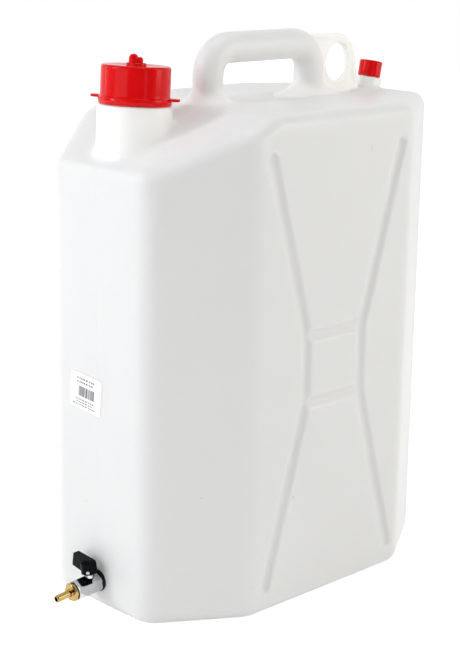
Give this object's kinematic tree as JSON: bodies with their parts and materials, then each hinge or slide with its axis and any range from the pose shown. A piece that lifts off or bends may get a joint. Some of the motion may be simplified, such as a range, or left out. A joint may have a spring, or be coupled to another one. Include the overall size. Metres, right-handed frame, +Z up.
{
  "type": "carboy with spigot",
  "caption": "Tall blow-moulded carboy with carrying handle, wide filler neck, vent and a small ball valve with hose tail near the base.",
  "frame": {"origin": "centre of the base, on the surface the can stands on", "axes": "+Z up, -Y out of the front face with the valve, +X out of one broad side"},
  "size_m": [0.2208, 0.3997, 0.4959],
  "materials": {
    "natural_pe": "satin natural polyethylene, milky and slightly see-through",
    "paper_label": null,
    "red_pp": "smooth glossy red polypropylene",
    "liner_foam": "soft closed-cell polyethylene foam",
    "chrome_plate": "bright chrome plating over brass",
    "steel_screw": "plain steel",
    "ptfe": "smooth white PTFE",
    "raw_brass": "turned bare brass",
    "black_nylon": "satin black moulded nylon",
    "nbr": "matt black nitrile rubber"
  },
  "bodies": {
    "can": {"carboy": "natural_pe", "label": "paper_label", "valve_body": "chrome_plate", "seat_inner": "ptfe", "seat_outer": "ptfe", "seat_retainer": "raw_brass", "stem_washer": "ptfe", "hose_tail": "raw_brass", "tail_seal": "nbr", "outer_washer": "nbr", "inner_washer": "nbr", "lock_nut": "raw_brass"},
    "lever_set": {"lever": "black_nylon", "lever_screw": "steel_screw", "stem": "raw_brass", "stem_o_ring": "nbr", "ball": "chrome_plate"},
    "filler_lift_set": {"filler_liner": "liner_foam"},
    "filler_cap_set": {"filler_cap": "red_pp"},
    "vent_lift_set": {"vent_liner": "liner_foam"},
    "vent_cap_set": {"vent_cap": "red_pp"}
  },
  "joints": [
    {"name": "lever_turn", "type": "hinge", "parent": "can", "child": "lever_set", "pos_m": [0, -0.18626, 0.0251], "axis": [0, -0.0872, 0.9962], "range_deg": [0, 90]},
    {"name": "filler_lift", "type": "slide", "parent": "can", "child": "filler_lift_set", "axis": [0, 0.0558, 0.9984], "range_m": [0, 0.018]},
    {"name": "filler_turn", "type": "hinge", "parent": "filler_lift_set", "child": "filler_cap_set", "pos_m": [0, -0.134, 0.4404], "axis": [0, 0.0558, 0.9984], "range_deg": [0, 1080]},
    {"name": "vent_lift", "type": "slide", "parent": "can", "child": "vent_lift_set", "axis": [0, 0.1908, 0.9816], "range_m": [0, 0.009]},
    {"name": "vent_turn", "type": "hinge", "parent": "vent_lift_set", "child": "vent_cap_set", "pos_m": [0, 0.161, 0.446], "axis": [0, 0.1908, 0.9816], "range_deg": [0, 1080]}
  ],
  "couplings": [
    {"joint": "filler_turn", "follows": "filler_lift", "rad_per_m": 1047.2},
    {"joint": "vent_turn", "follows": "vent_lift", "rad_per_m": 2094.4}
  ]
}
